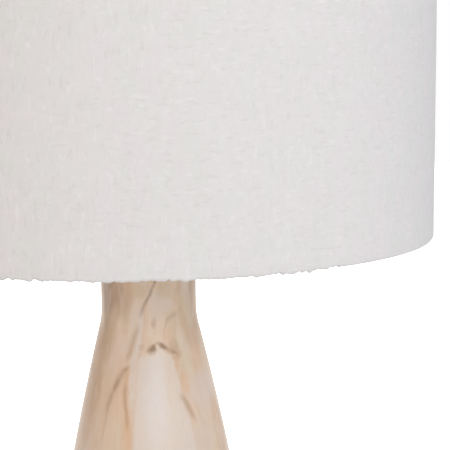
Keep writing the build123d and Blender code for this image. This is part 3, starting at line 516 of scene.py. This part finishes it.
def figure_all_round(g):
    """Colour all round the column: long soft bands, thin veins that come and go, and a few knots."""
    bands = g.stretched(0.13, 0.03, 0.0)
    colour = g.ramp(g.add(g.mul(bands, 1.35), -0.2), (0.22, WOOD_CREAM), (0.36, WOOD_PALE),
                    (0.48, WOOD_BEIGE), (0.60, WOOD_TAN), (0.78, WOOD_BROWN))
    colour = g.mix(g.step(g.stretched(0.18, 0.04, 30.0), 0.5, 0.68, 0.0, 0.4), colour, WOOD_OLIVE)
    colour = g.mix(g.step(g.stretched(0.10, 0.05, 43.0), 0.52, 0.72, 0.0, 0.35), colour, WOOD_ORANGE)
    wander = g.math("ABSOLUTE", g.sub(g.stretched(0.13, 0.024, 130.0, 1.0), 0.5))
    come_and_go = g.step(g.stretched(0.6, 0.03, 170.0), 0.45, 0.62)
    veins = g.mul(g.step(wander, 0.012, 0.0), come_and_go)
    colour = g.mix(g.mul(veins, 0.5), colour, WOOD_DARK)
    for degrees, at, wide, tall in SMALL_KNOTS:
        halo = g.soft_patch(degrees, at, 3 * wide, 3 * tall)
        colour = g.mix(g.mul(halo, 0.4), colour, WOOD_BROWN)
        colour = g.mix(g.mul(g.sharp_patch(degrees, at, wide, tall), 0.7), colour, WOOD_KNOT)
    return colour


def front_figure_and_shade(g, around):
    """Front patches, figure and painted shade, over the colour around, fading into it at the sides and
    below.
    """
    colour = g.mix(0.8, around, WOOD_TAN)
    for *shape, tone, strength in WOOD_PATCHES:
        colour = g.mix(g.mul(g.soft_patch(*shape), strength), colour, tone)
    for seed, tone in ((200.0, WOOD_OLIVE), (240.0, WOOD_ORANGE), (270.0, WOOD_PALE)):
        blotch = g.step(g.stretched(0.35, 0.1, seed), 0.5, 0.64)
        colour = g.mix(g.mul(blotch, 0.2), colour, tone)
    front = g.mul(g.step(g.math("ABSOLUTE", g.turn), *FRONT_SIDES), g.step(g.soft_z, *FRONT_FOOT))
    return g.mix(front, around, colour)


def pale_middle(g, colour, arch_height):
    """The pale stretch under the arch, and the streak along its left edge."""
    middle = g.mul(g.beside(PALE_LEFT_EDGE, 2.0), g.sub(1.0, g.beside(PALE_RIGHT_EDGE, 1.6)))
    under_arch = g.step(g.sub(g.z, arch_height), -1.0, -6.0)
    middle = g.mul(middle, g.mul(under_arch, g.step(g.soft_z, -400.0, -200.0)))
    colour = g.mix(middle, colour, WOOD_PALE)
    colour = g.mix(g.step(g.stretched(0.25, 0.12, 330.0), 0.5, 0.66, 0.0, 0.22), colour, WOOD_PINK)
    return g.draw(colour, STREAK_LINES)


def paint_light_on_neck(g, colour):
    """Painted light on the neck's front, making it a little paler and lighter against the lampshade's
    shadow.
    """
    neck = g.mul(g.step(g.z, -112.0, -66.0), g.step(g.math("ABSOLUTE", g.turn), 70.0, 34.0))
    # painted light: the neck's front paled and brightened where the lampshade shades it
    colour = g.mix(g.mul(neck, 0.17), colour, WOOD_PALE)
    return g.brighten(colour, g.add(g.mul(neck, 0.14), 1.0))


def arch_and_loop(g, colour, arch_height):
    """The two dark curves that run round the column over the knots."""
    arch = g.step(g.math("ABSOLUTE", g.sub(g.z, arch_height)), 2.6, 0.0)
    arch = g.mul(arch, g.mul(g.step(g.turn, -6.0, 0.0), g.step(g.turn, 31.0, 27.0)))
    colour = g.mix(g.mul(arch, 0.36), colour, WOOD_VEIN)
    loop = g.step(g.math("ABSOLUTE", g.sub(g.z, g.curve(g.turn, LOOP))), 4.2, 0.0)
    loop = g.mul(loop, g.mul(g.step(g.turn, 15.0, 18.0), g.step(g.turn, 37.0, 29.0)))
    return g.mix(g.mul(loop, 0.27), colour, WOOD_DARK)


def wood_material():
    """Pale figured wood under a thin clear finish: soft patches, veins, two small knots; painted shade and
    light on the neck.
    """
    g = WoodGraph("column_wood")
    arch_height = g.curve(g.turn, ARCH)
    colour = front_figure_and_shade(g, figure_all_round(g))
    colour = pale_middle(g, colour, arch_height)
    colour = paint_light_on_neck(g, colour)
    colour = g.draw(colour, LEFT_LINES)
    broken = g.step(g.stretched(1.0, 0.3, 300.0, 1.0), 0.34, 0.6, 0.62, 1.1)
    for *shape, tone, strength in PALE_PATCHES:
        share = g.mul(g.sharp_patch(*shape), broken)
        colour = g.mix(g.mul(share, strength), colour, tone)
    colour = g.draw(colour, RIGHT_LINES)
    colour = arch_and_loop(g, colour, arch_height)
    colour = g.brighten(colour, g.step(g.z, -165.0, -95.0, 0.97, 1.04))

    fibre = g.stretched(0.03, 0.7, 17.0, 3.0, 0.6)
    colour = g.mix(g.step(fibre, 0.45, 0.75, 0.0, 0.07), colour, WOOD_DARK)
    pores = g.step(g.stretched(0.12, 1.3, 23.0, 1.0), 0.68, 0.8)
    colour = g.mix(g.mul(pores, 0.10), colour, WOOD_DARK)
    return g.set(Base_Color=colour, Roughness=g.step(fibre, 0.3, 0.8, 0.42, 0.52), Specular_IOR_Level=0.5,
                 Coat_Weight=0.12, Coat_Roughness=0.3, Normal=g.bump(g.sub(fibre, g.mul(pores, 0.5)), 0.04))


# ------------------------------------------------------------------ metals, plastics and glass
# slot, paler and darker colour, roughness
METALS = [
    ("satin_brass", linear(214, 186, 136), linear(196, 166, 116), 0.3),
    ("zinc_steel", linear(190, 190, 188), linear(168, 168, 168), 0.38),
    ("contact_aluminium", linear(214, 214, 214), linear(198, 198, 200), 0.26),
    ("solder", linear(172, 172, 176), linear(150, 150, 154), 0.45),
]
# slot, paler and darker colour, roughness, grains per millimetre, relief in millimetres
PLAIN_SURFACES = [
    ("white_wire", linear(228, 226, 221), linear(220, 217, 211), 0.42, 1.8, 0.08),
    ("phenolic", linear(44, 39, 35), linear(36, 31, 28), 0.3, 1.8, 0.08),
    ("cast_iron", linear(70, 70, 72), linear(56, 56, 58), 0.7, 3.0, 0.3),
    ("felt", linear(92, 84, 78), linear(78, 70, 64), 0.96, 6.0, 0.4),
    ("gland_plastic", linear(74, 62, 52), linear(64, 53, 45), 0.45, 1.8, 0.08),
    ("card", linear(96, 82, 68), linear(84, 71, 58), 0.9, 3.0, 0.1),
    ("black_glass", linear(30, 28, 34), linear(24, 22, 28), 0.14, 1.8, 0.08),
]


def metal_material(name, pale, dark, rough):
    """Drawn or plated metal: faint brushed lines round the axis, dulled in patches."""
    g = Graph(name)
    place, x, y, z = g.place()
    patch = g.noise(place, 0.12, 3.0)
    lines = g.noise(g.vector(g.mul(x, 0.2), g.mul(y, 0.2), g.mul(z, 6.0)), 1.0, 2.0)
    colour = g.mix(g.step(patch, 0.35, 0.7), pale, dark)
    roughness = g.add(g.step(patch, 0.3, 0.7, rough - 0.05, rough + 0.08), g.mul(lines, 0.05))
    return g.set(Base_Color=colour, Metallic=1.0, Roughness=roughness, Normal=g.bump(lines, 0.02))


def plain_material(name, pale, dark, rough, grains, relief):
    """Moulded, painted or pressed stuff: a fine grain and a slow change of tone."""
    g = Graph(name)
    place, _, _, _ = g.place()
    tone = g.noise(place, grains / 30, 3.0)
    grain = g.noise(place, grains, 3.0, 0.6)
    colour = g.mix(g.step(tone, 0.3, 0.7), pale, dark)
    return g.set(Base_Color=colour, Roughness=g.step(grain, 0.3, 0.7, rough - 0.06, rough + 0.06),
                 Normal=g.bump(grain, relief))


def bulb_material():
    """Glass with a soft white coating on its inside."""
    g = Graph("frosted_glass")
    place, _, _, _ = g.place()
    haze = g.noise(place, 0.05, 2.0)
    colour = g.ramp(haze, (0.3, linear(246, 245, 241)), (0.7, linear(240, 238, 233)))
    return g.set(Base_Color=colour, Roughness=g.step(haze, 0.3, 0.7, 0.16, 0.22), Coat_Weight=0.6,
                 Coat_Roughness=0.05)


def glass_material():
    g = Graph("clear_glass")
    place, _, _, _ = g.place()
    roughness = g.step(g.noise(place, 0.3), 0.3, 0.7, 0.02, 0.06)
    return g.set(Base_Color=linear(240, 244, 242), Roughness=roughness, Transmission_Weight=0.9, IOR=1.5)


def finish_nodes():
    """Gives each CAD node that stays its material. The linen skin gets its own."""
    by_slot = {
        "column_wood": wood_material(),
        "frosted_glass": bulb_material(),
        "clear_glass": glass_material(),
        "liner_film": film_material(),
    }
    for slot, *look in METALS:
        by_slot[slot] = metal_material(slot, *look)
    for slot, *look in PLAIN_SURFACES:
        by_slot[slot] = plain_material(slot, *look)
    for part in frame["record"]["subparts"]:
        material = by_slot.get(part["material_slot"])
        if material is not None:
            mesh = frame["nodes"][part["node"]].data
            mesh.materials.clear()
            mesh.materials.append(material)


# ------------------------------------------------------------------ meshes
def turned_mesh(name, rings):
    """Mesh from an array of rings, shape (rings, columns, 3), with the last ring joined to the first."""
    count, columns = rings.shape[:2]
    mesh = bpy.data.meshes.new(name)
    ring = np.arange(count)[:, None]
    column = np.arange(columns)[None, :]
    here = ring * columns + column
    beside = ring * columns + (column + 1) % columns
    above = (ring + 1) % count * columns
    corners = np.stack([here, beside, above + (column + 1) % columns, above + column], axis=-1)
    mesh.from_pydata(rings.reshape(-1, 3).tolist(), [], corners.reshape(-1, 4).tolist())
    mesh.polygons.foreach_set("use_smooth", np.ones(len(mesh.polygons), bool))
    mesh.update()
    made = bpy.data.objects.new(name, mesh)
    bpy.context.collection.objects.link(made)
    return made


# ------------------------------------------------------------------ linen skin of the shade
LINEN_COLUMNS = 1280
LINEN_ROWS = 40  # up the outside wall
LINEN_THICKNESS = 0.8 * MM
LINEN_SEED = 7
FOLD_STEPS = 8
HEM_INNER = 4.8 * MM  # from the middle of the wall's cloth to the middle of the turned-in hem's
HEM_REST = 2.0 * MM  # from the outside to the middle of the hem's end, where it lies on the liner
HEM_FLAT_SLOPE = 0.3 * MM  # by which the hem is further in where it meets the liner than at its end
# Distances from the shade's edge, along the hem:
HEM_LEAN_START = 4.0 * MM  # clear of the wire, where it starts to lean towards the liner
HEM_FLAT_START = 7.56 * MM  # where it meets the liner
HEM_TURN = 9.0 * MM  # its end
LAP_HALF_WIDTH = 6.0 * MM  # the glued lap at the back
LAP_RISE = 0.35 * MM
LAP_SLOPE = 0.8 * MM  # width over which the surface rises to the lap
SLACK_LOBES = range(2, 9)  # slow waves round the shade
SLACK_HEIGHT = (0.02, 0.06)  # millimetres
THICK_YARNS = 900
YARN_WIDTH = (0.5, 1.0)  # half widths, in columns
YARN_LENGTH = (0.02, 0.11)  # half lengths, as shares of the wall
YARN_HEIGHT = (0.03, 0.12)  # millimetres
# Small teeth where slubs cross a fold, and puckers: how many, millimetres, half widths in columns.
EDGE_TEETH = [(900, 0.80, (0.6, 1.3)), (90, 0.40, (3.0, 8.0))]
SMOOTH_HEM = (33.0, 100.0)  # degrees round from the front between which the folded edges are even
SMOOTH_HEM_ENDS = (4.0, 6.0)  # degrees over which they become so


def around_from(column, columns):
    """Distance of every column from one of them, in columns, the shorter way round."""
    return (np.arange(columns) - column + columns / 2) % columns - columns / 2


def linen_relief(rng, columns, rows):
    """Height of the linen over its even surface, in metres, as (rows, columns): thick yarns and slack."""
    around = np.arange(columns) / columns * 2 * math.pi
    up = np.linspace(0, 1, rows)
    relief = np.zeros((rows, columns))
    for lobes in SLACK_LOBES:
        phase, tilt = rng.uniform(0, 2 * math.pi, 2)
        size = rng.uniform(*SLACK_HEIGHT) * MM
        relief += size * np.cos(lobes * around[None, :] + phase + tilt * up[:, None])
    for _ in range(THICK_YARNS):
        column = rng.integers(0, columns)
        row = rng.uniform(-0.05, 1.05)
        wide = rng.uniform(*YARN_WIDTH)
        tall = rng.uniform(*YARN_LENGTH)
        size = rng.uniform(*YARN_HEIGHT) * MM
        across = np.exp(-((around_from(column, columns) / wide) ** 2))
        along = np.exp(-(((up - row) / tall) ** 2))
        relief += size * along[:, None] * across[None, :]
    return relief


def ragged_edge(rng, columns):
    """Unevenness of a folded edge, in metres."""
    edge = np.zeros(columns)
    for count, size, widths in EDGE_TEETH:
        for _ in range(count):
            offset = around_from(rng.integers(0, columns), columns)
            edge += rng.uniform(-size, size) * MM * np.exp(-((offset / rng.uniform(*widths)) ** 2))
    degrees = (np.arange(columns) / columns * 360 + 90) % 360
    start, end = SMOOTH_HEM
    rise, fall = SMOOTH_HEM_ENDS
    even = np.clip((degrees - start) / rise, 0, 1) * np.clip((end - degrees) / fall, 0, 1)
    return edge * (1 - even)


def shade_linen(material):
    """Linen skin: the outside wall, a fold round the wire at each edge and the turned-in hems, closed."""
    rng = np.random.default_rng(LINEN_SEED)
    fold = HEM_INNER / 2
    half = LINEN_THICKNESS / 2
    outer = SHADE_RADIUS - half
    centre = outer - fold
    low, high = SHADE_BOTTOM + half + fold, SHADE_TOP - half - fold
    path, facing = [], []  # radius and height of each ring, and the way that its surface faces

    def along(points, way):
        path.extend(points)
        facing.extend([way] * len(points))

    def fold_points(middle, start, end):
        for angle in np.linspace(math.radians(start), math.radians(end), FOLD_STEPS + 1)[1:-1]:
            path.append((centre + fold * math.cos(angle), middle + fold * math.sin(angle)))
            facing.append((math.cos(angle), math.sin(angle)))

    wall = np.linspace(low, high, LINEN_ROWS)
    hem = [(SHADE_RADIUS - HEM_REST, HEM_TURN), (SHADE_RADIUS - HEM_REST - HEM_FLAT_SLOPE, HEM_FLAT_START),
           (centre - fold, HEM_LEAN_START), (centre - fold, low - SHADE_BOTTOM)]
    inward, outward = (-1.0, 0.0), (1.0, 0.0)
    along([(r, SHADE_BOTTOM + h) for r, h in hem], inward)
    fold_points(low, 180, 360)
    wall_start = len(path)
    along([(outer, h) for h in wall], outward)
    wall_end = len(path)
    fold_points(high, 0, 180)
    along([(r, SHADE_TOP - h) for r, h in reversed(hem)], inward)
    path, facing = np.array(path), np.array(facing)

    relief = np.zeros((len(path), LINEN_COLUMNS))
    relief[wall_start:wall_end] = linen_relief(rng, LINEN_COLUMNS, LINEN_ROWS)
    relief[:wall_start] = relief[wall_start]
    relief[wall_end:] = relief[wall_end - 1]
    for rows in (slice(0, wall_start), slice(wall_end, len(path))):
        folded = np.abs(facing[rows, 1])[:, None]
        relief[rows] += folded * ragged_edge(rng, LINEN_COLUMNS)[None, :]

    turn = np.arange(LINEN_COLUMNS) / LINEN_COLUMNS * 2 * math.pi
    seam = np.abs((turn - math.pi / 2 + math.pi) % (2 * math.pi) - math.pi) * SHADE_RADIUS
    lap = LAP_RISE * np.clip((LAP_HALF_WIDTH + LAP_SLOPE - seam) / LAP_SLOPE, 0, 1)
    outside = facing[:, :1] > -0.5  # the lap shows on the wall and the folds, and not on the hems
    relief += lap[None, :] * outside

    def skin(side):
        """Ring positions half a thickness to one side of the path."""
        reach = side * half + relief
        radius = path[:, :1] + facing[:, :1] * reach
        height = path[:, 1:] + facing[:, 1:] * reach
        return np.stack([radius * np.cos(turn), radius * np.sin(turn), height], axis=-1)

    rings = np.concatenate([skin(1), skin(-1)[::-1]])
    made = turned_mesh("linen_skin", rings)
    made.data.materials.append(material)
    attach(made, "shade")
    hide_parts("shade_fabric")
    return made


# ------------------------------------------------------------------ floor, light and background
FLOOR_SIZE = 14.0
GLOW_NEAR = 0.45  # light that the floor adds to what is seen of it beside the lamp
SHADOW_REACH = 0.35  # within this of the lamp's axis the floor shows the whole shadow
SHADOW_END = 0.85  # beyond this it is plain white
WORLD_STRENGTH = 0.23
WHITE = (1.0, 1.0, 1.0)
# Name, turn and rise in degrees from the front, distance, width, watts, colour.
LIGHTS = [
    ("key", 15, 22, 2.7, 1.6, 40, WHITE),
    ("left", -75, 15, 2.6, 1.8, 9, (1.0, 0.79, 0.63)),
    ("right", 100, 20, 2.6, 1.8, 10, (0.74, 0.82, 1.0)),
    ("back", 185, 30, 2.7, 1.8, 44, WHITE),
]


def seen_directly(tree):
    """1 for rays from the camera, a reflection or glass, and 0 for those that gather soft light."""
    path = tree.nodes.new("ShaderNodeLightPath")
    total = path.outputs["Is Camera Ray"]
    for name in ("Is Glossy Ray", "Is Transmission Ray"):
        larger = tree.nodes.new("ShaderNodeMath")
        larger.operation = "MAXIMUM"
        tree.links.new(total, larger.inputs[0])
        tree.links.new(path.outputs[name], larger.inputs[1])
        total = larger.outputs[0]
    return total


def stage_floor():
    mesh = bpy.data.meshes.new("floor")
    half = FLOOR_SIZE / 2
    corners = [(-half, -half, 0), (half, -half, 0), (half, half, 0), (-half, half, 0)]
    mesh.from_pydata(corners, [], [(0, 1, 2, 3)])
    floor = bpy.data.objects.new("floor", mesh)
    bpy.context.collection.objects.link(floor)
    g = Graph("floor")
    place, x, y, _ = g.place()
    tone = g.noise(place, 0.002, 2.0)
    away = g.math("SQRT", g.add(g.mul(x, x), g.mul(y, y)))
    glow = g.step(away, SHADOW_REACH / MM, SHADOW_END / MM, GLOW_NEAR, 1.0)
    mesh.materials.append(g.set(
        Base_Color=g.mix(tone, linear(250, 250, 250), linear(246, 246, 247)),
        Roughness=0.9,
        Specular_IOR_Level=0.1,
        Emission_Color=linear(255, 255, 255),
        Emission_Strength=g.mul(glow, seen_directly(g.tree)),
    ))


def stage_light(name, turn, rise, distance, size, watts, colour):
    """Round soft light, aimed at the lamp's axis at the height of the shade's lower edge."""
    aim = Vector((0, 0, SHADE_BOTTOM))
    turn, rise = math.radians(turn), math.radians(rise)
    way = Vector((math.sin(turn) * math.cos(rise), -math.cos(turn) * math.cos(rise), math.sin(rise)))
    light = bpy.data.lights.new(name, "AREA")
    light.shape = "DISK"
    light.size = size
    light.energy = watts
    light.color = colour
    lamp = bpy.data.objects.new(name, light)
    lamp.location = aim + way * distance
    lamp.rotation_mode = "QUATERNION"
    lamp.rotation_quaternion = (-way).to_track_quat("-Z", "Y")
    bpy.context.collection.objects.link(lamp)


def stage_world():
    """White for what is seen directly, and a soft white light on everything."""
    world = bpy.data.worlds.new("studio")
    world.use_nodes = True
    bpy.context.scene.world = world
    tree = world.node_tree
    tree.nodes.clear()
    light = tree.nodes.new("ShaderNodeBackground")
    light.inputs["Color"].default_value = (*WHITE, 1.0)
    light.inputs["Strength"].default_value = WORLD_STRENGTH
    white = tree.nodes.new("ShaderNodeBackground")
    white.inputs["Color"].default_value = (*WHITE, 1.0)
    white.inputs["Strength"].default_value = 1.0
    both = tree.nodes.new("ShaderNodeMixShader")
    tree.links.new(seen_directly(tree), both.inputs[0])
    tree.links.new(light.outputs[0], both.inputs[1])
    tree.links.new(white.outputs[0], both.inputs[2])
    out = tree.nodes.new("ShaderNodeOutputWorld")
    tree.links.new(both.outputs[0], out.inputs["Surface"])


make_camera()
stage_floor()
stage_world()
for light_setup in LIGHTS:
    stage_light(*light_setup)

finish_nodes()
linen = shade_linen(linen_material())

scene = bpy.context.scene
scene.view_settings.view_transform = "Standard"
